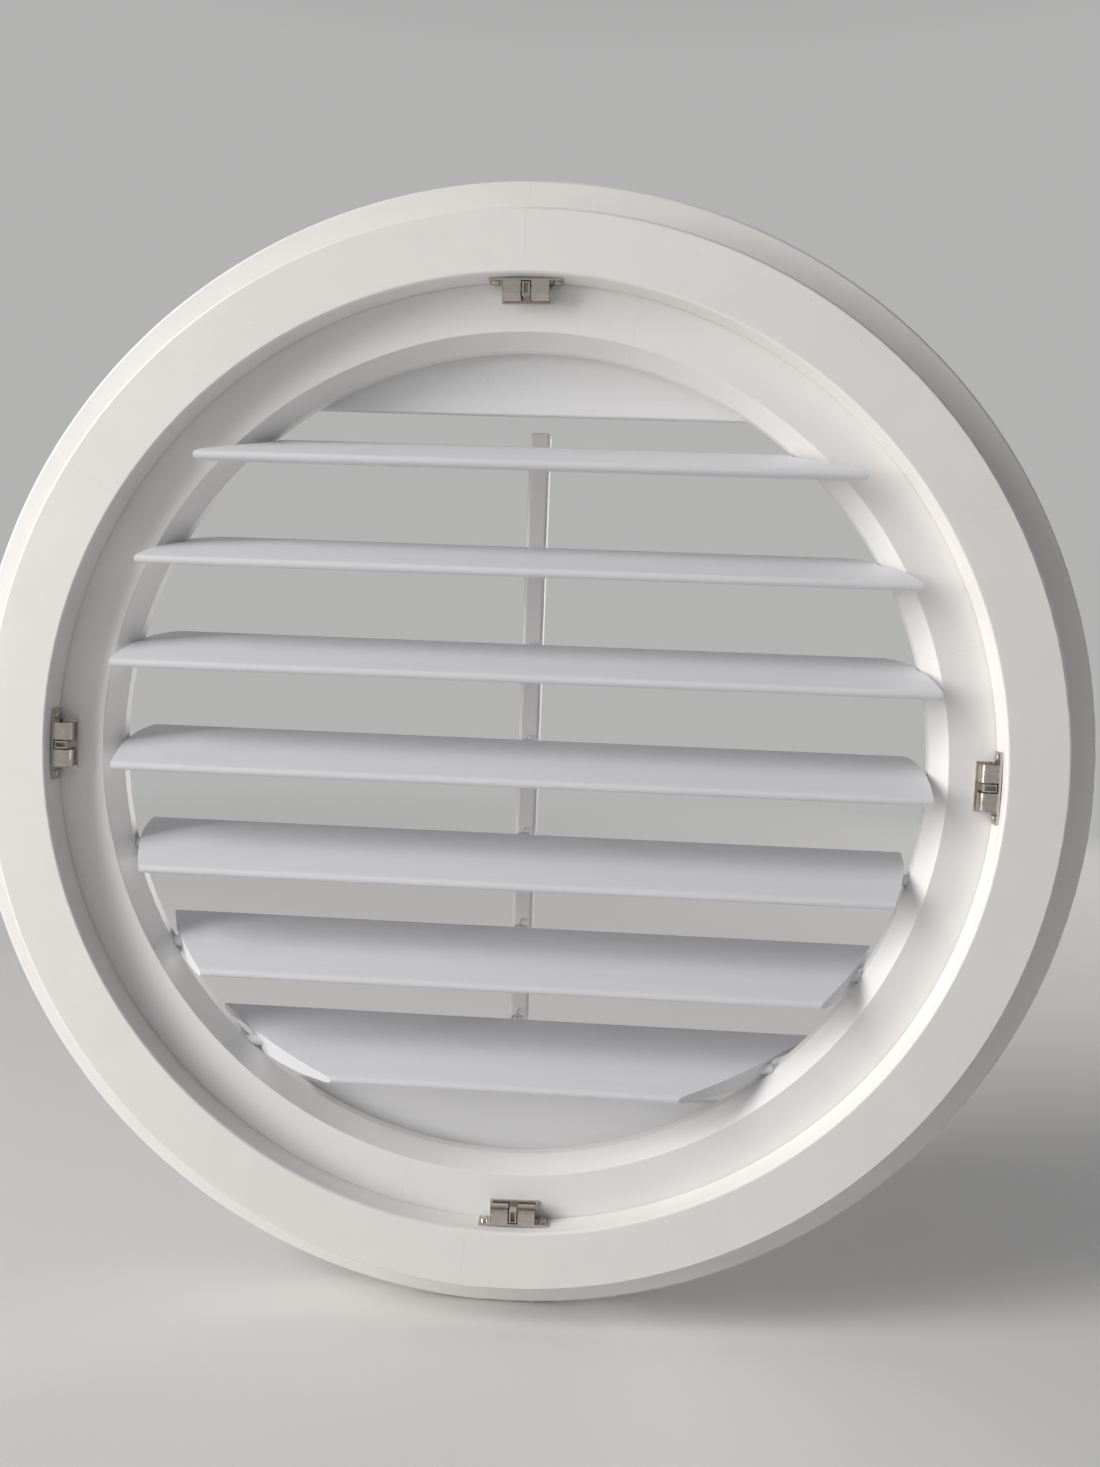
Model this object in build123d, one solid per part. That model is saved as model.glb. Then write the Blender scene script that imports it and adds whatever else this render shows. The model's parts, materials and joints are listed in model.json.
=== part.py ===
from build123d import *
import os
from math import asin, cos, degrees, radians, sin, sqrt

# Round louvred shutter in its round frame, in millimetres.
# The ring axis is Y: the window side faces -Y, the room side faces +Y, and Z is up.
# The origin is on the ring axis, in the plane of the flange's back face, which lies on the wall.
# The louvres stand half open, as they are left in use.

# Round opening of the panel; the ring's inner edge is bevelled from both faces to a flat nose
OPENING_RADIUS = 217.0
NOSE_WIDTH = 5.6
BEVEL_RISE = 6.6
BEVEL_EDGE_ROUND = 0.8
OPENING_ROOM_ROUND = 3.0

# Round panel
RING_WIDTH = 38.0
PANEL_THICKNESS = 30.0
PANEL_CLEARANCE = 2.0
SEAT_GAP = 0.3
PANEL_RIM_ROUND = 1.5

# Outer frame, glued up from a spigot ring and a flange ring
PANEL_LAP = 7.0
SPIGOT_WALL = 32.0
SPIGOT_DEPTH = 29.5
SHOULDER_DEPTH = 15.0
FLANGE_LAP = 24.5
FLANGE_THICKNESS = 18.0
GLUE_GROOVE_WIDTH = 1.2
GLUE_GROOVE_DEPTH = 0.8
FRAME_EDGE_ROUND = 1.5
FLANGE_ROOM_ROUND = 5.0

# Infill rails
RAIL_DEPTH = 31.0
RAIL_SETBACK = 22.5
RAIL_THICKNESS = 5.5
RAIL_GROOVE_DEPTH = 10.0
RAIL_FIT = 0.15
RAIL_EDGE_ROUND = 1.2

# Louvres
LOUVRE_COUNT = 7
RAIL_TO_PIVOT = 24.0
LOUVRE_OVERLAP = 10.0
LOUVRE_THICKNESS = 11.0
LOUVRE_TIP_RADIUS = 2.4
LOUVRE_END_GAP = 2.4
LOUVRE_TILT = 75.0
TILT_OPEN = 90.0

# Relief that the louvre ends need to swing past the ring's wall
SWING_CLEARANCE = 1.6
RELIEF_NOSE_WIDTH = 9.0

# Louvre pins
PIN_RADIUS = 2.5
PIN_COLLAR_RADIUS = 3.1
PIN_COLLAR_SINK = 0.5
PIN_GRIP = 10.0
PIN_REACH = 9.0
PIN_RUNNING_FIT = 0.08
PIN_END_FIT = 0.5
COLLAR_CLEARANCE = 0.35

# Tilt rod and its staples
ROD_X = 1.5
ROD_WIDTH = 12.0
ROD_DEPTH = 13.0
ROD_OVERRUN = 13.0
ROD_EDGE_ROUND = 2.5
WIRE = 1.0
STAPLE_EYE = 4.5
STAPLE_WIDTH = 6.4
STAPLE_GRIP = 7.0
ROD_STAPLE_HEIGHT = 4.4
ROD_STANDOFF = 8.5
ROD_STAPLE_GRIP = 6.0
LINK_CLEARANCE = 0.55

# Double-ball catches
TOP_CATCH_ANGLE = 90.9
LEFT_CATCH_ANGLE = 179.7
BOTTOM_CATCH_ANGLE = 271.7
RIGHT_CATCH_ANGLE = 0.0
CATCH_PLATE_LENGTH = 37.5
CATCH_WIDTH = 8.0
CATCH_PLATE_THICKNESS = 1.2
CATCH_STANDOFF = 1.6
BARREL_LENGTH = 9.0
BARREL_GAP = 5.4
BARREL_HEIGHT = 8.9
BARREL_BORE_RADIUS = 2.6
BARREL_MOUTH_RADIUS = 1.9
BARREL_LIP = 0.4
BALL_RADIUS = 2.5
BALL_PLAY = 0.05
ADJUSTER_LENGTH = 2.4
ADJUSTER_FIT = 0.05
ADJUSTER_SLOT = 0.7
SPRING_WIRE = 0.4
SPRING_TURNS = 3
SPRING_FIT = 0.2
SPRING_SEAT = 0.1

# Strikers
STRIKER_LENGTH = 26.0
STRIKER_THICKNESS = 1.2
TONGUE_HEIGHT = 6.4
TONGUE_WALL = 0.5
TONGUE_NECK = 3.4
TONGUE_HEAD = 3.95
TONGUE_HEAD_LENGTH = 2.4
TONGUE_OFFSET = 1.0

# Small wood screws
SCREW_SHANK_RADIUS = 1.1
SCREW_LENGTH = 10.0
SCREW_HEAD_RADIUS = 2.2
SCREW_HEAD_HEIGHT = 1.1
SCREW_FIT = 0.05
CATCH_SCREW_INSET = 3.2
STRIKER_SCREW_INSET = 3.5

# How far a cutting shape passes the surface that it cuts
CUT_MARGIN = 1.0

# Sizes and places that follow from the sizes above
PANEL_RADIUS = OPENING_RADIUS + RING_WIDTH
REBATE_RADIUS = PANEL_RADIUS + PANEL_CLEARANCE
FRAME_BORE_RADIUS = PANEL_RADIUS - PANEL_LAP
SPIGOT_RADIUS = FRAME_BORE_RADIUS + SPIGOT_WALL
FLANGE_RADIUS = SPIGOT_RADIUS + FLANGE_LAP
SPIGOT_FACE_Y = -SPIGOT_DEPTH
SHOULDER_Y = SPIGOT_FACE_Y + SHOULDER_DEPTH
PANEL_NEAR_Y = SHOULDER_Y + SEAT_GAP
PANEL_FAR_Y = PANEL_NEAR_Y + PANEL_THICKNESS
PIVOT_Y = PANEL_NEAR_Y + PANEL_THICKNESS / 2
RAIL_NEAR_Y = PANEL_NEAR_Y + RAIL_SETBACK
RAIL_EDGE_HEIGHT = OPENING_RADIUS - RAIL_DEPTH
TOP_PIVOT_HEIGHT = RAIL_EDGE_HEIGHT - RAIL_TO_PIVOT
LOUVRE_PITCH = 2 * TOP_PIVOT_HEIGHT / (LOUVRE_COUNT - 1)
LOUVRE_WIDTH = LOUVRE_PITCH + LOUVRE_OVERLAP
LOUVRE_END_RADIUS = OPENING_RADIUS - LOUVRE_END_GAP
LOUVRE_HEIGHTS = [TOP_PIVOT_HEIGHT - i * LOUVRE_PITCH for i in range(LOUVRE_COUNT)]
LINK_REACH = LOUVRE_WIDTH / 2 + STAPLE_EYE
LINK_Y = PIVOT_Y + LINK_REACH * sin(radians(LOUVRE_TILT))
LINK_RISE = LINK_REACH * cos(radians(LOUVRE_TILT))
ROD_NEAR_Y = LINK_Y + ROD_STANDOFF
PLATE_SEAT_Z = sqrt(FRAME_BORE_RADIUS ** 2 - (CATCH_PLATE_LENGTH / 2) ** 2)
BARREL_TOP_Z = PLATE_SEAT_Z - CATCH_PLATE_THICKNESS
BARREL_AXIS_Z = BARREL_TOP_Z - BARREL_HEIGHT + CATCH_WIDTH / 2
CATCH_FAR_Y = PANEL_NEAR_Y - CATCH_STANDOFF
CATCH_Y = CATCH_FAR_Y - CATCH_WIDTH / 2
BALL_X = BARREL_GAP / 2 + BARREL_LIP + sqrt(BALL_RADIUS ** 2 - BARREL_MOUTH_RADIUS ** 2) + BALL_PLAY
BARREL_END_X = BARREL_GAP / 2 + BARREL_LENGTH
STRIKER_Z = BARREL_AXIS_Z
TONGUE_Z = BARREL_AXIS_Z + TONGUE_OFFSET
STRIKER_FACE_Y = PANEL_NEAR_Y - STRIKER_THICKNESS
CATCH_ANGLES = {
    "top": TOP_CATCH_ANGLE,
    "left": LEFT_CATCH_ANGLE,
    "bottom": BOTTOM_CATCH_ANGLE,
    "right": RIGHT_CATCH_ANGLE,
}


def revolved_ring(points, rounds):
    """Solid of revolution about Y from (radius, y) corners, some of them rounded."""
    outline = Polyline(*points, close=True)
    section = make_face(outline)
    for corner, radius in rounds:
        nearest = section.vertices().sort_by_distance(Vector(corner[0], corner[1], 0))[0]
        section = fillet(nearest, radius)
    return revolve(section, Axis.Y, 360)


def rod_along_x(radius, start, end, y=0.0, z=0.0):
    """Round bar along X between two stations."""
    length = abs(end - start)
    return Pos((start + end) / 2, y, z) * Rot(0, 90, 0) * Cylinder(radius, length)


def block(low, high):
    """Box between two opposite corners."""
    size = [b - a for a, b in zip(low, high)]
    middle = [(a + b) / 2 for a, b in zip(low, high)]
    return Pos(*middle) * Box(*size)


def at_catch(angle, shape):
    """Turn a shape that was made at the top of the ring to a catch's angle."""
    return Rot(0, 90 - angle, 0) * shape


def screw_stations(length, inset):
    """X places of the two screws of a plate."""
    return [-(length / 2 - inset), length / 2 - inset]


# Outer frame


def frame_spigot():
    """Ring that goes into the wall opening, rebated on the room side for the panel."""
    inner = (FRAME_BORE_RADIUS, SPIGOT_FACE_Y)
    outer = (SPIGOT_RADIUS, SPIGOT_FACE_Y)
    corners = [
        inner,
        outer,
        (SPIGOT_RADIUS, 0),
        (REBATE_RADIUS, 0),
        (REBATE_RADIUS, SHOULDER_Y),
        (FRAME_BORE_RADIUS, SHOULDER_Y),
    ]
    ring = revolved_ring(corners, [(inner, FRAME_EDGE_ROUND), (outer, FRAME_EDGE_ROUND)])
    for angle in CATCH_ANGLES.values():
        for x in screw_stations(CATCH_PLATE_LENGTH, CATCH_SCREW_INSET):
            ring -= at_catch(angle, catch_screw(x, SCREW_FIT))
    return ring


def frame_flange():
    """Flat ring glued to the spigot, which laps the wall around the opening.

    A shallow groove under the spigot's outer edge takes up the glue that is squeezed out.
    """
    groove_radius = SPIGOT_RADIUS - GLUE_GROOVE_WIDTH
    back = (FLANGE_RADIUS, 0)
    front = (FLANGE_RADIUS, FLANGE_THICKNESS)
    mouth = (REBATE_RADIUS, FLANGE_THICKNESS)
    corners = [
        (REBATE_RADIUS, 0),
        (groove_radius, 0),
        (groove_radius, GLUE_GROOVE_DEPTH),
        (SPIGOT_RADIUS, GLUE_GROOVE_DEPTH),
        (SPIGOT_RADIUS, 0),
        back,
        front,
        mouth,
    ]
    rounds = [(back, FRAME_EDGE_ROUND), (front, FLANGE_ROOM_ROUND), (mouth, FRAME_EDGE_ROUND)]
    return revolved_ring(corners, rounds)


# Round panel and its infill rails


def rail_board(side, fit):
    """D-shaped board; fit grows it all round to cut the groove that holds it."""
    radius = OPENING_RADIUS + RAIL_GROOVE_DEPTH + fit
    near = RAIL_NEAR_Y - fit
    thickness = RAIL_THICKNESS + 2 * fit
    disc = Pos(0, near + thickness / 2, 0) * Rot(90, 0, 0) * Cylinder(radius, thickness)
    edge = RAIL_EDGE_HEIGHT - fit
    far = near + thickness
    low = (-radius, near - CUT_MARGIN, edge)
    keep = block(low, (radius, far + CUT_MARGIN, radius + CUT_MARGIN))
    board = disc & keep
    return board if side > 0 else mirror(board, Plane.XY)


def infill_rail(side):
    """Board let into the ring's groove, its straight edge eased."""
    board = rail_board(side, 0)
    straight = board.edges().filter_by(Axis.X)
    return fillet(straight, RAIL_EDGE_ROUND)


def panel_ring():
    """Round stile, grooved for the rails, drilled and spot-faced for the louvre pins."""
    bevel_near = (OPENING_RADIUS + BEVEL_RISE, PANEL_NEAR_Y)
    bevel_far = (OPENING_RADIUS + BEVEL_RISE, PANEL_FAR_Y)
    nose_near = (OPENING_RADIUS, PIVOT_Y - NOSE_WIDTH / 2)
    nose_far = (OPENING_RADIUS, PIVOT_Y + NOSE_WIDTH / 2)
    rim_near = (PANEL_RADIUS, PANEL_NEAR_Y)
    rim_far = (PANEL_RADIUS, PANEL_FAR_Y)
    rounds = [
        (bevel_near, BEVEL_EDGE_ROUND),
        (nose_near, BEVEL_EDGE_ROUND),
        (nose_far, BEVEL_EDGE_ROUND),
        (bevel_far, OPENING_ROOM_ROUND),
        (rim_near, PANEL_RIM_ROUND),
        (rim_far, PANEL_RIM_ROUND),
    ]
    ring = revolved_ring([bevel_near, rim_near, rim_far, bevel_far, nose_far, nose_near], rounds)
    for side in (1, -1):
        ring -= rail_board(side, RAIL_FIT)
    spot_radius = PIN_COLLAR_RADIUS + COLLAR_CLEARANCE
    for height in LOUVRE_HEIGHTS:
        start = wall_reach(abs(height) + spot_radius) - CUT_MARGIN
        seat = wall_reach(height) + COLLAR_CLEARANCE
        end = pin_tip(height) + PIN_END_FIT
        for side in (-1, 1):
            ring -= rod_along_x(spot_radius, side * start, side * seat, PIVOT_Y, height)
            ring -= rod_along_x(PIN_RADIUS + PIN_RUNNING_FIT, side * start, side * end, PIVOT_Y, height)
    for angle in CATCH_ANGLES.values():
        for x in screw_stations(STRIKER_LENGTH, STRIKER_SCREW_INSET):
            ring -= at_catch(angle, striker_screw(x, SCREW_FIT))
    return ring


# Louvres


def wall_reach(height):
    """Half width of the round opening at a height."""
    return sqrt(OPENING_RADIUS ** 2 - height ** 2)


def louvre_section():
    """Oval section: two broad arcs joined by tangent tip arcs, width along Y, thickness along X."""
    half_width = LOUVRE_WIDTH / 2
    half_thickness = LOUVRE_THICKNESS / 2
    tip_centre = half_width - LOUVRE_TIP_RADIUS
    spread = tip_centre ** 2 + half_thickness ** 2 - LOUVRE_TIP_RADIUS ** 2
    radius = spread / (2 * (half_thickness - LOUVRE_TIP_RADIUS))
    fall = radius - half_thickness
    span = radius - LOUVRE_TIP_RADIUS
    join_y = tip_centre + LOUVRE_TIP_RADIUS * tip_centre / span
    join_x = LOUVRE_TIP_RADIUS * fall / span
    outline = [
        ThreePointArc((join_x, -join_y), (half_thickness, 0), (join_x, join_y)),
        ThreePointArc((join_x, join_y), (0, half_width), (-join_x, join_y)),
        ThreePointArc((-join_x, join_y), (-half_thickness, 0), (-join_x, -join_y)),
        ThreePointArc((-join_x, -join_y), (0, -half_width), (join_x, -join_y)),
    ]
    return make_face(outline)


def swing_relief(height):
    """Straight bar with the ring's inner section, widened by the clearance that the swing needs.

    It lies across the wall of the opening where the end of a louvre at that height passes it.
    """
    inner = OPENING_RADIUS - SWING_CLEARANCE
    bevel = inner + BEVEL_RISE
    nose = RELIEF_NOSE_WIDTH / 2
    face = PANEL_THICKNESS / 2
    rim = face + PANEL_RADIUS - bevel
    half_section = [(inner, nose), (bevel, face), (PANEL_RADIUS, rim)]
    near = [(radius, PIVOT_Y - reach) for radius, reach in half_section]
    far = [(radius, PIVOT_Y + reach) for radius, reach in reversed(half_section)]
    bar = extrude(make_face(Polyline(*near, *far, close=True)), LOUVRE_WIDTH, both=True)
    return Rot(0, -degrees(asin(height / OPENING_RADIUS)), 0) * bar


def upright_louvre(height):
    """Louvre with its axis on X and its width along Z, cut to the opening and drilled at both ends.

    It is cut round as it stands upright, and then again where it passes the wall when it lies open.
    It is made for its place below the middle, and turned over for the same place above it.
    """
    place = -abs(height)
    length_plane = Plane(origin=(0, 0, 0), x_dir=(0, 1, 0), z_dir=(1, 0, 0))
    blank = extrude(length_plane * louvre_section(), OPENING_RADIUS, both=True)
    opening = Pos(0, 0, -place) * Rot(90, 0, 0) * Cylinder(LOUVRE_END_RADIUS, LOUVRE_WIDTH)
    relief = Rot(TILT_OPEN, 0, 0) * Pos(0, -PIVOT_Y, -place) * swing_relief(place)
    body = (blank & opening) - relief - mirror(relief, Plane.YZ)
    for pin in louvre_pins(place).solids():
        body -= pin
    return Rot(180, 0, 0) * body if height > 0 else body


def at_pivot(height, shape):
    """Tilt an upright louvre or its fittings and set it on its pivot."""
    return Pos(0, PIVOT_Y, height) * Rot(-LOUVRE_TILT, 0, 0) * shape


def pin_tip(height):
    """Outer end of a louvre pin, inside the ring."""
    return wall_reach(height) + PIN_REACH


def louvre_pins(height):
    """Pair of nylon pins: a grip in the louvre, a collar in the gap and a journal in the ring."""
    seat = sqrt(LOUVRE_END_RADIUS ** 2 - (abs(height) + PIN_COLLAR_RADIUS) ** 2) - PIN_COLLAR_SINK
    pins = Part()
    for side in (-1, 1):
        journal = rod_along_x(PIN_RADIUS, side * (seat - PIN_GRIP), side * pin_tip(height))
        collar = rod_along_x(PIN_COLLAR_RADIUS, side * seat, side * wall_reach(height))
        pins += journal + collar
    return pins


def louvre_staple():
    """Wire staple in the louvre's room-side edge, its eye around the link axis."""
    eye = LINK_REACH + WIRE / 2
    foot = LOUVRE_WIDTH / 2 - STAPLE_GRIP
    half = STAPLE_WIDTH / 2
    outer = block((ROD_X - half, -WIRE / 2, foot), (ROD_X + half, WIRE / 2, eye))
    low = (ROD_X - half + WIRE, -WIRE, foot - CUT_MARGIN)
    inner = block(low, (ROD_X + half - WIRE, WIRE, eye - WIRE))
    return outer - inner


def louvre(height):
    """One louvre with the holes that its pins and staple fill."""
    return upright_louvre(height) - louvre_staple()


# Tilt rod


def rod_staple(height):
    """Wire staple in the rod, hooked through a louvre's staple."""
    link = height + LINK_RISE
    hook = LINK_Y - WIRE - LINK_CLEARANCE - WIRE / 2
    foot = ROD_NEAR_Y + ROD_STAPLE_GRIP
    half = ROD_STAPLE_HEIGHT / 2
    low_x = ROD_X - WIRE / 2
    high_x = ROD_X + WIRE / 2
    outer = block((low_x, hook, link - half), (high_x, foot, link + half))
    low = (low_x - CUT_MARGIN, hook + WIRE, link - half + WIRE)
    inner = block(low, (high_x + CUT_MARGIN, foot + CUT_MARGIN, link + half - WIRE))
    return outer - inner


def rod_staples():
    """All staples of the rod, as one group of separate solids."""
    return Compound(children=[rod_staple(height) for height in LOUVRE_HEIGHTS])


def tilt_rod():
    """Square bar with eased edges, drilled by the legs of its staples."""
    top = LOUVRE_HEIGHTS[0] + LINK_RISE + ROD_OVERRUN
    bottom = LOUVRE_HEIGHTS[-1] + LINK_RISE - ROD_OVERRUN
    half = ROD_WIDTH / 2
    bar = block((ROD_X - half, ROD_NEAR_Y, bottom), (ROD_X + half, ROD_NEAR_Y + ROD_DEPTH, top))
    bar = fillet(bar.edges(), ROD_EDGE_ROUND)
    for height in LOUVRE_HEIGHTS:
        bar -= rod_staple(height)
    return bar


# Double-ball catches, made at the top of the ring


def catch_screw(x, fit=0.0):
    """Pan-head wood screw through a catch plate into the frame; fit grows its hole."""
    under_head = Pos(x, CATCH_Y, BARREL_TOP_Z)
    shank = under_head * Pos(0, 0, SCREW_LENGTH / 2) * Cylinder(SCREW_SHANK_RADIUS + fit, SCREW_LENGTH)
    if fit:
        return shank
    head = under_head * Pos(0, 0, -SCREW_HEAD_HEIGHT / 2) * Cylinder(SCREW_HEAD_RADIUS, SCREW_HEAD_HEIGHT)
    rim = head.edges().group_by(Axis.Z)[0]
    return shank + fillet(rim, SCREW_HEAD_HEIGHT / 2)


def catch_housing():
    """Screw plate with two ball barrels that face each other across the striker's gap."""
    half_plate = CATCH_PLATE_LENGTH / 2
    near = CATCH_Y - CATCH_WIDTH / 2
    far = CATCH_Y + CATCH_WIDTH / 2
    housing = block((-half_plate, near, BARREL_TOP_Z), (half_plate, far, PLATE_SEAT_Z))
    for side in (-1, 1):
        start = side * BARREL_GAP / 2
        end = side * BARREL_END_X
        low_x, high_x = sorted((start, end))
        barrel = rod_along_x(CATCH_WIDTH / 2, start, end, CATCH_Y, BARREL_AXIS_Z)
        barrel += block((low_x, near, BARREL_AXIS_Z), (high_x, far, BARREL_TOP_Z))
        lip = start + side * BARREL_LIP
        barrel -= rod_along_x(BARREL_MOUTH_RADIUS, start, lip, CATCH_Y, BARREL_AXIS_Z)
        barrel -= rod_along_x(BARREL_BORE_RADIUS, lip, end, CATCH_Y, BARREL_AXIS_Z)
        housing += barrel
    for x in screw_stations(CATCH_PLATE_LENGTH, CATCH_SCREW_INSET):
        housing -= catch_screw(x, SCREW_FIT)
    return housing


def catch_ball(side):
    """Steel ball behind the lip of its barrel."""
    return Pos(side * BALL_X, CATCH_Y, BARREL_AXIS_Z) * Sphere(BALL_RADIUS)


def catch_spring(side):
    """Coil spring of square wire between the ball and the adjuster."""
    radius = BARREL_BORE_RADIUS - SPRING_FIT - SPRING_WIRE / 2
    inner = radius - SPRING_WIRE / 2
    start = BALL_X + sqrt(BALL_RADIUS ** 2 - inner ** 2) + SPRING_SEAT + SPRING_WIRE / 2
    end = BARREL_END_X - ADJUSTER_LENGTH - SPRING_WIRE / 2
    height = end - start
    path = Helix(height / SPRING_TURNS, height, radius)
    wire = Plane(path @ 0, x_dir=(1, 0, 0), z_dir=path % 0) * Rectangle(SPRING_WIRE, SPRING_WIRE)
    coil = sweep(wire, path, is_frenet=True)
    return Pos(side * start, CATCH_Y, BARREL_AXIS_Z) * Rot(0, side * 90, 0) * coil


def catch_adjuster(side):
    """Slotted grub screw that closes a barrel and loads its spring."""
    inner = side * (BARREL_END_X - ADJUSTER_LENGTH)
    outer = side * BARREL_END_X
    plug = rod_along_x(BARREL_BORE_RADIUS - ADJUSTER_FIT, inner, outer, CATCH_Y, BARREL_AXIS_Z)
    half = ADJUSTER_SLOT / 2
    depth = outer - side * ADJUSTER_SLOT
    low_x, high_x = sorted((depth, outer + side * CUT_MARGIN))
    reach = BARREL_BORE_RADIUS
    low = (low_x, CATCH_Y - reach, BARREL_AXIS_Z - half)
    high = (high_x, CATCH_Y + reach, BARREL_AXIS_Z + half)
    return plug - block(low, high)


def striker_screw(x, fit=0.0):
    """Countersunk wood screw through a striker plate into the panel; fit grows its hole."""
    head_y = STRIKER_FACE_Y + SCREW_HEAD_HEIGHT / 2
    shank_y = STRIKER_FACE_Y + SCREW_LENGTH / 2
    shank = Pos(x, shank_y, STRIKER_Z) * Rot(90, 0, 0) * Cylinder(SCREW_SHANK_RADIUS + fit, SCREW_LENGTH)
    cone = Cone(SCREW_SHANK_RADIUS + fit, SCREW_HEAD_RADIUS + fit, SCREW_HEAD_HEIGHT)
    return shank + Pos(x, head_y, STRIKER_Z) * Rot(90, 0, 0) * cone


def striker():
    """Small plate on the panel with a folded loop that the balls grip behind its head."""
    half_length = STRIKER_LENGTH / 2
    half_width = CATCH_WIDTH / 2
    low = (-half_length, STRIKER_FACE_Y, STRIKER_Z - half_width)
    high = (half_length, PANEL_NEAR_Y, STRIKER_Z + half_width)
    plate = block(low, high)
    tip_y = CATCH_Y - CATCH_WIDTH / 2
    low_z = TONGUE_Z - TONGUE_HEIGHT / 2
    high_z = TONGUE_Z + TONGUE_HEIGHT / 2
    neck = TONGUE_NECK / 2
    head = TONGUE_HEAD / 2
    bore = neck - TONGUE_WALL
    tongue = block((-neck, tip_y, low_z), (neck, STRIKER_FACE_Y, high_z))
    tongue += block((-head, tip_y, low_z), (head, tip_y + TONGUE_HEAD_LENGTH, high_z))
    low = (-bore, tip_y - CUT_MARGIN, low_z + TONGUE_WALL)
    tongue -= block(low, (bore, STRIKER_FACE_Y, high_z - TONGUE_WALL))
    piece = plate + tongue
    for x in screw_stations(STRIKER_LENGTH, STRIKER_SCREW_INSET):
        piece -= striker_screw(x, SCREW_FIT)
    return piece


def around_ring(shapes):
    """The same shapes at every catch, as one group of separate solids."""
    return Compound(children=[at_catch(angle, s) for angle in CATCH_ANGLES.values() for s in shapes])


# All pieces by node name

pieces = {
    "frame_spigot": frame_spigot(),
    "frame_flange": frame_flange(),
    "panel_ring": panel_ring(),
    "top_rail": infill_rail(1),
    "bottom_rail": infill_rail(-1),
    "tilt_rod": tilt_rod(),
    "rod_staples": rod_staples(),
}

for place, angle in CATCH_ANGLES.items():
    pieces[f"catch_housing_{place}"] = at_catch(angle, catch_housing())
    pieces[f"striker_{place}"] = at_catch(angle, striker())
    for letter, side in (("a", -1), ("b", 1)):
        pieces[f"catch_ball_{place}_{letter}"] = at_catch(angle, catch_ball(side))
        pieces[f"catch_spring_{place}_{letter}"] = at_catch(angle, catch_spring(side))

catch_stations = screw_stations(CATCH_PLATE_LENGTH, CATCH_SCREW_INSET)
striker_stations = screw_stations(STRIKER_LENGTH, STRIKER_SCREW_INSET)
pieces["catch_screws"] = around_ring([catch_screw(x) for x in catch_stations])
pieces["catch_adjusters"] = around_ring([catch_adjuster(side) for side in (-1, 1)])
pieces["striker_screws"] = around_ring([striker_screw(x) for x in striker_stations])

for number, height in enumerate(LOUVRE_HEIGHTS, start=1):
    pieces[f"louvre_{number}"] = at_pivot(height, louvre(height))
    pieces[f"louvre_pins_{number}"] = at_pivot(height, louvre_pins(height))
    pieces[f"louvre_staple_{number}"] = at_pivot(height, louvre_staple())

os.makedirs("parts", exist_ok=True)
for name, shape in pieces.items():
    export_step(shape, f"parts/{name}.step")
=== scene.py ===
import json
from math import cos, pi, radians, sin

import bpy
from mathutils import Matrix, Vector

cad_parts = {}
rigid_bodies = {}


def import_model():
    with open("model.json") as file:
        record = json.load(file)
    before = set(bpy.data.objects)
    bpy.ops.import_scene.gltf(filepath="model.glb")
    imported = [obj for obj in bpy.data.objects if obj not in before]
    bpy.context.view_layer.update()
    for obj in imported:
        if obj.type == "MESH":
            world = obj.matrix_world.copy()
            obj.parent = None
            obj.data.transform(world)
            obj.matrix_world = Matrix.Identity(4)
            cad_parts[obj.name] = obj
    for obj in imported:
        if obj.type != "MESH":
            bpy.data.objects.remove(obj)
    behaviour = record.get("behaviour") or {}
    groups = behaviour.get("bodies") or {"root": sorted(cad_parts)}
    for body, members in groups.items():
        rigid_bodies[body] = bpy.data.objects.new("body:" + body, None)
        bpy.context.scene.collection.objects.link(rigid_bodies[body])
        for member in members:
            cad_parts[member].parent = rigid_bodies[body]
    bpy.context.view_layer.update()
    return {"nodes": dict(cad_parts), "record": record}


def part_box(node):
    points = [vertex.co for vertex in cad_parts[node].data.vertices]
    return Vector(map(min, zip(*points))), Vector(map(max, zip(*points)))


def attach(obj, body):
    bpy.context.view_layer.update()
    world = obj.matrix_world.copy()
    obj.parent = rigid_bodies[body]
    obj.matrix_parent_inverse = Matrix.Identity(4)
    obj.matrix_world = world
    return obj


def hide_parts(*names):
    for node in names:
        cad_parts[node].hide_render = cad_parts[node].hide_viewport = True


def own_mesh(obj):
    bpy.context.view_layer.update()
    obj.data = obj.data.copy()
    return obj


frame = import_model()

# Camera, as the photograph was taken: in front of the window side, a little to the right and above.
# The focal length and the sensor's width are in millimetres.
CAMERA_PLACE = Vector((0.0452, -0.5902, 0.0617))
CAMERA_RIGHT = Vector((0.99786, 0.05254, 0.03903))
CAMERA_UP = Vector((-0.04287, 0.07404, 0.99633))
CAMERA_CLIP_START = 0.01
FOCAL_LENGTH = 36.0
SENSOR_WIDTH = 36.0

# Colours, linear
WARM_WHITE = (0.84, 0.825, 0.805)
PANEL_WHITE = (0.84, 0.83, 0.82)
# The louvres' white is the frame's white paint, made darker and cooler here as painted shade and
# painted cool light
LOUVRE_SHADED_WHITE = (0.735, 0.742, 0.765)
RAIL_WHITE = (0.83, 0.83, 0.835)
NICKEL = (0.60, 0.55, 0.50)
BALL_STEEL = (0.62, 0.62, 0.63)
SPRING_STEEL = (0.42, 0.42, 0.43)
SCREW_STEEL = (0.56, 0.54, 0.51)
STAPLE_STEEL = (0.66, 0.66, 0.66)
NYLON_WHITE = (0.74, 0.76, 0.78)
FLOOR_PALE = (0.80, 0.795, 0.785)
BACKDROP_PALE = (0.45, 0.45, 0.447)

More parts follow.
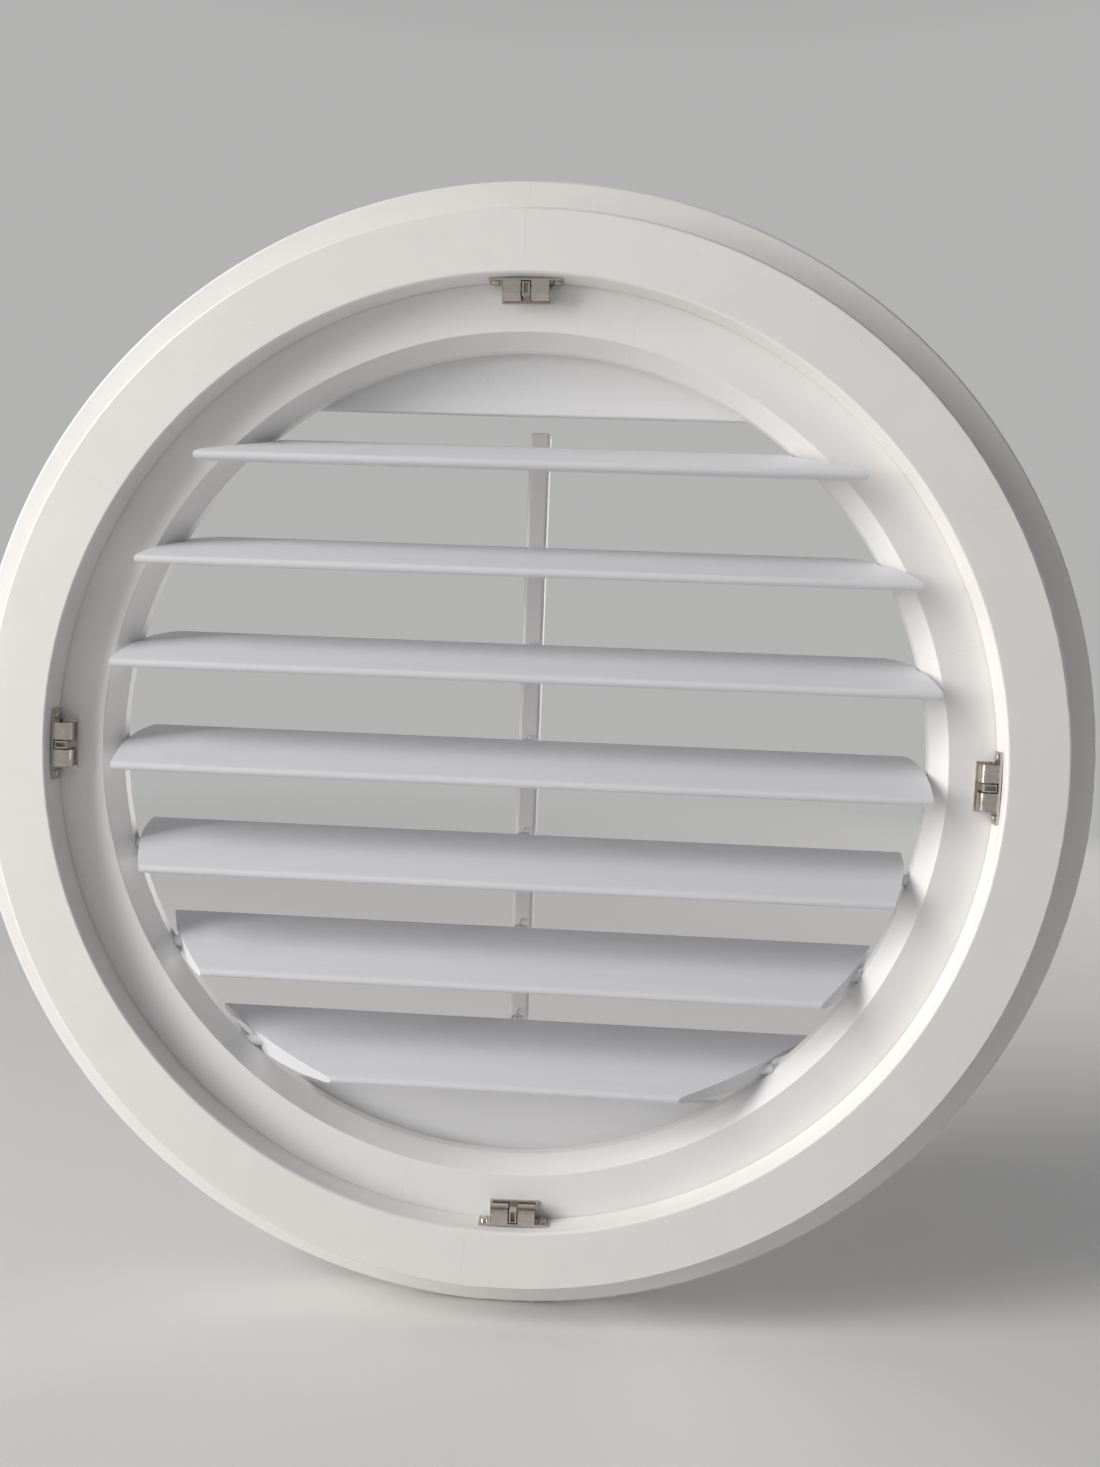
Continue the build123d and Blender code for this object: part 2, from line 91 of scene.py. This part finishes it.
# Finishes. A noise is given by its scale and its detail, and a bump by its strength and its depth.
# A tone, which multiplies the base colour, or a roughness has a value for each end of the noise.
NOISE_ENDS = (0.3, 0.7)
PAINT_CLOUD = (9.0, 3.0)
PAINT_STREAK = (1.0, 4.0)
PAINT_TONE = (0.985, 1.01)
PAINT_ROUGHNESS = (0.36, 0.44)
PAINT_SPECULAR = 0.45
PAINT_BUMP = (0.10, 0.0003)
PEEL = (650.0, 2.0)
PEEL_SHARE = 0.5
SPECKS = (420.0, 1.0)
SPECKS_ENDS = (0.80, 0.83)
SPECKS_TONE = 0.85
METAL_WEAR = (300.0, 3.0)
METAL_TONE = (0.92, 1.05)
METAL_ROUGHNESS_SHARES = (0.75, 1.3)
METAL_BUMP = (0.06, 0.0001)
NYLON_CLOUD = (500.0, 2.0)
NYLON_TONE = (0.95, 1.03)
NYLON_ROUGHNESS = (0.38, 0.48)
NYLON_BUMP = (0.05, 0.0001)

# Stretch of the paint's grain along the three axes
ALONG_X = (6.0, 320.0, 320.0)
ALONG_Z = (320.0, 320.0, 6.0)
ALL_WAYS = (40.0, 40.0, 40.0)

# Thin lines where the segments of a ring are glued, at angles in degrees from +X toward +Z
FRAME_SEAMS = (31.0, 91.0, 148.0, 211.0, 266.0, 329.0)
PANEL_SEAMS = (17.0, 77.0, 137.0, 197.0, 257.0, 317.0)
SEAM_WIDTH = 0.0005
SEAM_TONE = 0.95

# Floor, which fades into the background between two distances from its middle
FLOOR_SIZE = 30.0
FLOOR_GAP = 0.0002
FLOOR_CLOUD = (3.0, 3.0)
FLOOR_TONE = (0.985, 1.01)
FLOOR_ROUGHNESS = 0.85
FLOOR_SPECULAR = 0.2
FLOOR_FADE = (0.5, 2.2)

# Springs of the catches: round wire, with half a turn lying flat at each end. The end gap is what a
# spring is shorter than the one that it replaces.
SPRING_WIRE = 0.0004
SPRING_TURNS = 4.0
SPRING_FLAT_TURN = 0.5
SPRING_END_GAP = 0.00005
SPRING_STEPS_PER_TURN = 24
SPRING_WIRE_SIDES = 8

# Lamps: a soft key lamp at the left of the window side, and a low one behind, which lights the room
# side and not the louvres' tops. A lamp's size is its width and its height.
KEY_PLACE = Vector((-2.6, -1.3, 1.05))
KEY_SIZE = (1.0, 2.6)
KEY_POWER = 103.0
REAR_PLACE = Vector((1.9, 2.3, 0.05))
REAR_SIZE = (1.5, 1.5)
REAR_POWER = 60.0
LAMP_COLOUR = (1.0, 0.975, 0.95)

# Sky, brightest toward one side and dim on the room side. It grows between two values of the cosine
# of the angle to that side, from its weakest to its strongest.
SKY_COLOUR = (0.93, 0.95, 1.0)
SKY_BRIGHT_SIDE = Vector((-0.45, -0.80, 0.30))
SKY_COSINES = (-0.2, 1.0)
SKY_STRENGTHS = (0.02, 0.36)

# Background that is shown: plain to the sides, and darker overhead, between two heights of the view
BACKDROP_HEIGHTS = (0.45, 0.95)
BACKDROP_STRENGTHS = (1.0, 0.3)


# Node helpers


def map_range(tree, value, ends, new_ends):
    """Value of a node tree brought from one range to another, and kept inside it."""
    node = tree.nodes.new("ShaderNodeMapRange")
    names = ("From Min", "From Max", "To Min", "To Max")
    for name, end in zip(names, (*ends, *new_ends)):
        node.inputs[name].default_value = end
    tree.links.new(value, node.inputs["Value"])
    return node.outputs["Result"]


def shown_ray(tree):
    """1 for the rays that show the background: those of the camera, of gloss and of glass."""
    rays = tree.nodes.new("ShaderNodeLightPath")
    value = rays.outputs["Is Camera Ray"]
    for kind in ("Is Glossy Ray", "Is Transmission Ray"):
        either = tree.nodes.new("ShaderNodeMath")
        either.operation = "MAXIMUM"
        tree.links.new(value, either.inputs[0])
        tree.links.new(rays.outputs[kind], either.inputs[1])
        value = either.outputs[0]
    return value


class Shader:
    """Node tree of one material, with short calls for the nodes that it needs."""

    def __init__(self, name):
        self.material = bpy.data.materials.new(name)
        self.material.use_nodes = True
        self.tree = self.material.node_tree
        self.surface = self.tree.nodes["Principled BSDF"]
        coordinates = self.tree.nodes.new("ShaderNodeTexCoord")
        self.place = coordinates.outputs["Object"]

    def link(self, source, target):
        self.tree.links.new(source, target)

    def drive(self, name, source):
        """Let a source vary one value of the surface."""
        self.link(source, self.surface.inputs[name])

    def scaled(self, scale):
        """Object coordinates stretched along the axes."""
        mapping = self.tree.nodes.new("ShaderNodeMapping")
        mapping.inputs["Scale"].default_value = scale
        self.link(self.place, mapping.inputs["Vector"])
        return mapping.outputs["Vector"]

    def noise(self, vector, scale, detail):
        node = self.tree.nodes.new("ShaderNodeTexNoise")
        node.inputs["Scale"].default_value = scale
        node.inputs["Detail"].default_value = detail
        self.link(vector, node.inputs["Vector"])
        return node.outputs["Fac"]

    def math(self, operation, first, second=0.0):
        node = self.tree.nodes.new("ShaderNodeMath")
        node.operation = operation
        for socket, value in zip(node.inputs, (first, second)):
            if isinstance(value, float):
                socket.default_value = value
            else:
                self.link(value, socket)
        return node.outputs[0]

    def spread(self, value, ends, new_ends):
        """Value brought from one range to another, and kept inside it."""
        return map_range(self.tree, value, ends, new_ends)

    def vary(self, noise, new_ends):
        """Noise brought to a range."""
        return self.spread(noise, NOISE_ENDS, new_ends)

    def tint(self, base, factor):
        """Base colour multiplied by a factor that varies over the surface."""
        node = self.tree.nodes.new("ShaderNodeVectorMath")
        node.operation = "SCALE"
        node.inputs[0].default_value = base
        self.link(factor, node.inputs["Scale"])
        return node.outputs["Vector"]

    def bump(self, height, strength, distance):
        node = self.tree.nodes.new("ShaderNodeBump")
        node.inputs["Strength"].default_value = strength
        node.inputs["Distance"].default_value = distance
        self.link(height, node.inputs["Height"])
        self.drive("Normal", node.outputs["Normal"])

    def seam(self, angle_deg):
        """1 on a thin line across the ring at an angle, 0 elsewhere."""
        parts = self.tree.nodes.new("ShaderNodeSeparateXYZ")
        self.link(self.place, parts.inputs["Vector"])
        x, z = parts.outputs["X"], parts.outputs["Z"]
        cosine, sine = cos(radians(angle_deg)), sin(radians(angle_deg))
        across = self.math("SUBTRACT", self.math("MULTIPLY", z, cosine),
                           self.math("MULTIPLY", x, sine))
        along = self.math("ADD", self.math("MULTIPLY", x, cosine),
                          self.math("MULTIPLY", z, sine))
        near = self.math("LESS_THAN", self.math("ABSOLUTE", across), SEAM_WIDTH / 2)
        return self.math("MULTIPLY", near, self.math("GREATER_THAN", along, 0.0))


# Materials


def paint(name, base, grain, seams=()):
    """Satin paint on wood: cloudy tone, faint grain, a few specks, glue seams and spray dimples."""
    shader = Shader(name)
    cloud = shader.noise(shader.place, *PAINT_CLOUD)
    streak = shader.noise(shader.scaled(grain), *PAINT_STREAK)
    specks = shader.noise(shader.place, *SPECKS)
    peel = shader.noise(shader.place, *PEEL)
    tone = shader.math("MULTIPLY", shader.vary(cloud, PAINT_TONE), shader.vary(streak, PAINT_TONE))
    tone = shader.math("MULTIPLY", tone, shader.spread(specks, SPECKS_ENDS, (1.0, SPECKS_TONE)))
    for angle in seams:
        line = shader.spread(shader.seam(angle), (0.0, 1.0), (1.0, SEAM_TONE))
        tone = shader.math("MULTIPLY", tone, line)
    shader.drive("Base Color", shader.tint(base, tone))
    shader.drive("Roughness", shader.vary(cloud, PAINT_ROUGHNESS))
    shader.surface.inputs["Specular IOR Level"].default_value = PAINT_SPECULAR
    height = shader.math("ADD", shader.math("MULTIPLY", peel, PEEL_SHARE), streak)
    shader.bump(height, *PAINT_BUMP)
    return shader.material


def metal(name, base, roughness):
    """Bare or plated metal with fine wear in its gloss."""
    shader = Shader(name)
    wear = shader.noise(shader.place, *METAL_WEAR)
    shader.drive("Base Color", shader.tint(base, shader.vary(wear, METAL_TONE)))
    ends = [roughness * share for share in METAL_ROUGHNESS_SHARES]
    shader.drive("Roughness", shader.vary(wear, ends))
    shader.surface.inputs["Metallic"].default_value = 1.0
    shader.bump(wear, *METAL_BUMP)
    return shader.material


def nylon(name, base):
    """Natural moulded nylon, a little cloudy."""
    shader = Shader(name)
    cloud = shader.noise(shader.place, *NYLON_CLOUD)
    shader.drive("Base Color", shader.tint(base, shader.vary(cloud, NYLON_TONE)))
    shader.drive("Roughness", shader.vary(cloud, NYLON_ROUGHNESS))
    shader.bump(cloud, *NYLON_BUMP)
    return shader.material


def floor_surface(name, base):
    """Plain matt floor with a slight mottle, which takes on the background's tone far away."""
    shader = Shader(name)
    cloud = shader.noise(shader.place, *FLOOR_CLOUD)
    shader.drive("Base Color", shader.tint(base, shader.vary(cloud, FLOOR_TONE)))
    shader.surface.inputs["Roughness"].default_value = FLOOR_ROUGHNESS
    shader.surface.inputs["Specular IOR Level"].default_value = FLOOR_SPECULAR
    distance = shader.tree.nodes.new("ShaderNodeVectorMath")
    distance.operation = "LENGTH"
    shader.link(shader.place, distance.inputs[0])
    fade = shader.spread(distance.outputs["Value"], FLOOR_FADE, (0.0, 1.0))
    far = shader.tree.nodes.new("ShaderNodeEmission")
    far.inputs["Color"].default_value = (*BACKDROP_PALE, 1.0)
    mix = shader.tree.nodes.new("ShaderNodeMixShader")
    shader.link(shader.math("MULTIPLY", fade, shown_ray(shader.tree)), mix.inputs["Fac"])
    shader.link(shader.surface.outputs[0], mix.inputs[1])
    shader.link(far.outputs[0], mix.inputs[2])
    shader.link(mix.outputs[0], shader.tree.nodes["Material Output"].inputs["Surface"])
    return shader.material


frame_paint = paint("frame_paint", WARM_WHITE, ALL_WAYS, FRAME_SEAMS)
panel_paint = paint("panel_paint", PANEL_WHITE, ALL_WAYS, PANEL_SEAMS)
rail_paint = paint("rail_paint", RAIL_WHITE, ALONG_X)
# The louvres' paint takes the darker, cooler white: painted shade on the same white paint as the
# frame
louvre_paint = paint("louvre_paint", LOUVRE_SHADED_WHITE, ALONG_X)
rod_paint = paint("rod_paint", PANEL_WHITE, ALONG_Z)
nickel = metal("nickel_plate", NICKEL, roughness=0.18)
ball_steel = metal("ball_steel", BALL_STEEL, roughness=0.10)
spring_steel = metal("spring_wire", SPRING_STEEL, roughness=0.30)
screw_steel = metal("screw_steel", SCREW_STEEL, roughness=0.28)
staple_steel = metal("staple_wire", STAPLE_STEEL, roughness=0.38)
nylon_white = nylon("nylon_white", NYLON_WHITE)
floor_pale = floor_surface("floor_pale", FLOOR_PALE)

# A node takes the material of the first entry that its name starts with
MATERIAL_BY_START = {
    "frame_": frame_paint,
    "panel_ring": panel_paint,
    "top_rail": rail_paint,
    "bottom_rail": rail_paint,
    "louvre_pins": nylon_white,
    "louvre_staple": staple_steel,
    "louvre_": louvre_paint,
    "tilt_rod": rod_paint,
    "rod_staples": staple_steel,
    "catch_housing": nickel,
    "catch_ball": ball_steel,
    "catch_spring": spring_steel,
    "catch_screws": screw_steel,
    "catch_adjusters": screw_steel,
    "striker_screws": screw_steel,
    "striker_": nickel,
}


def dress_node(name, node):
    for start, material in MATERIAL_BY_START.items():
        if name.startswith(start):
            node.data.materials.clear()
            node.data.materials.append(material)
            return


# Springs


def spring_rise(turn):
    """Share of the spring's climb that is done after a number of turns."""
    climb = SPRING_TURNS - 2 * SPRING_FLAT_TURN
    return min(max((turn - SPRING_FLAT_TURN) / climb, 0.0), 1.0)


def coil_mesh(name, start, axis, length, radius):
    """Round-wire coil of an outer radius that runs along an axis from its start."""
    half = SPRING_WIRE / 2
    across = Vector((0.0, 1.0, 0.0))
    third = axis.cross(across)
    steps = int(SPRING_TURNS * SPRING_STEPS_PER_TURN)
    sides = SPRING_WIRE_SIDES
    points = []
    for step in range(steps + 1):
        turn = step / SPRING_STEPS_PER_TURN
        outward = across * cos(2 * pi * turn) + third * sin(2 * pi * turn)
        height = half + (length - SPRING_WIRE) * spring_rise(turn)
        middle = start + axis * height + outward * (radius - half)
        for side in range(sides):
            angle = 2 * pi * side / sides
            points.append(middle + (outward * cos(angle) + axis * sin(angle)) * half)
    faces = [tuple(range(sides)), tuple(reversed(range(steps * sides, (steps + 1) * sides)))]
    for step in range(steps):
        low, high = step * sides, (step + 1) * sides
        for side in range(sides):
            following = (side + 1) % sides
            faces.append((low + side, high + side, high + following, low + following))
    mesh = bpy.data.meshes.new(name)
    mesh.from_pydata(points, [], faces)
    mesh.polygons.foreach_set("use_smooth", [True] * len(faces))
    return mesh


def add_spring(joint):
    """Round-wire coil in place of a catch's spring, sized from that spring's box."""
    place = joint["child"].removeprefix("ball_")
    node = f"catch_spring_{place}"
    name = f"coil_{place}"
    axis = Vector(joint["axis"]).normalized()
    low, high = (Vector(corner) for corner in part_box(node))
    extent = high - low
    radius = extent.y / 2
    # A spring that lies aslant has a box that is longer by a part of the spring's width
    slopes = sorted([(abs(axis.x), extent.x), (abs(axis.z), extent.z)], reverse=True)
    (cosine, along), (sine, _) = slopes
    length = (along - 2 * radius * sine) / cosine - SPRING_END_GAP
    start = (low + high) / 2 - axis * length / 2
    spring = bpy.data.objects.new(name, coil_mesh(name, start, axis, length, radius))
    spring.data.materials.append(spring_steel)
    bpy.context.scene.collection.objects.link(spring)
    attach(spring, joint["parent"])
    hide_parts(node)
    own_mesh(spring)


# Floor, light and camera


def add_floor():
    """Large square floor just under the frame."""
    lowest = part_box("frame_flange")[0][2]
    half = FLOOR_SIZE / 2
    corners = [(-half, -half, 0), (half, -half, 0), (half, half, 0), (-half, half, 0)]
    mesh = bpy.data.meshes.new("floor")
    mesh.from_pydata(corners, [], [(0, 1, 2, 3)])
    mesh.materials.append(floor_pale)
    floor = bpy.data.objects.new("floor", mesh)
    floor.location = (0, 0, lowest - FLOOR_GAP)
    bpy.context.scene.collection.objects.link(floor)


def add_lamp(name, place, size, power):
    """Flat lamp aimed at the object's middle."""
    data = bpy.data.lights.new(name, "AREA")
    data.shape = "RECTANGLE"
    data.size, data.size_y = size
    data.energy = power
    data.color = LAMP_COLOUR
    lamp = bpy.data.objects.new(name, data)
    lamp.location = place
    lamp.rotation_euler = (-place).to_track_quat("-Z", "Y").to_euler()
    lamp.visible_camera = False
    bpy.context.scene.collection.objects.link(lamp)


def set_world():
    """Soft light from the sky, and a plain pale background where the camera sees past the floor."""
    world = bpy.data.worlds.new("studio")
    bpy.context.scene.world = world
    world.use_nodes = True
    tree = world.node_tree
    direction = tree.nodes.new("ShaderNodeTexCoord").outputs["Generated"]

    sky = tree.nodes["Background"]
    sky.inputs["Color"].default_value = (*SKY_COLOUR, 1.0)
    toward = tree.nodes.new("ShaderNodeVectorMath")
    toward.operation = "DOT_PRODUCT"
    toward.inputs[1].default_value = SKY_BRIGHT_SIDE.normalized()
    tree.links.new(direction, toward.inputs[0])
    strength = map_range(tree, toward.outputs["Value"], SKY_COSINES, SKY_STRENGTHS)
    tree.links.new(strength, sky.inputs["Strength"])

    backdrop = tree.nodes.new("ShaderNodeBackground")
    backdrop.inputs["Color"].default_value = (*BACKDROP_PALE, 1.0)
    parts = tree.nodes.new("ShaderNodeSeparateXYZ")
    tree.links.new(direction, parts.inputs["Vector"])
    strength = map_range(tree, parts.outputs["Z"], BACKDROP_HEIGHTS, BACKDROP_STRENGTHS)
    tree.links.new(strength, backdrop.inputs["Strength"])

    mix = tree.nodes.new("ShaderNodeMixShader")
    tree.links.new(shown_ray(tree), mix.inputs["Fac"])
    tree.links.new(sky.outputs[0], mix.inputs[1])
    tree.links.new(backdrop.outputs[0], mix.inputs[2])
    tree.links.new(mix.outputs[0], tree.nodes["World Output"].inputs["Surface"])


def add_camera():
    data = bpy.data.cameras.new("camera")
    data.lens = FOCAL_LENGTH
    data.sensor_width = SENSOR_WIDTH
    data.sensor_fit = "HORIZONTAL"
    data.clip_start = CAMERA_CLIP_START
    camera = bpy.data.objects.new("camera", data)
    back = CAMERA_RIGHT.cross(CAMERA_UP).normalized()
    turn = Matrix((CAMERA_RIGHT, CAMERA_UP, back)).transposed().to_4x4()
    camera.matrix_world = Matrix.Translation(CAMERA_PLACE) @ turn
    bpy.context.scene.collection.objects.link(camera)
    bpy.context.scene.camera = camera


for name, node in frame["nodes"].items():
    dress_node(name, node)
for joint in frame["record"]["behaviour"]["joints"]:
    if joint["name"].startswith("ball_"):
        add_spring(joint)
add_floor()
add_lamp("key", KEY_PLACE, KEY_SIZE, KEY_POWER)
add_lamp("rear", REAR_PLACE, REAR_SIZE, REAR_POWER)
set_world()
add_camera()
bpy.context.scene.view_settings.view_transform = "Standard"
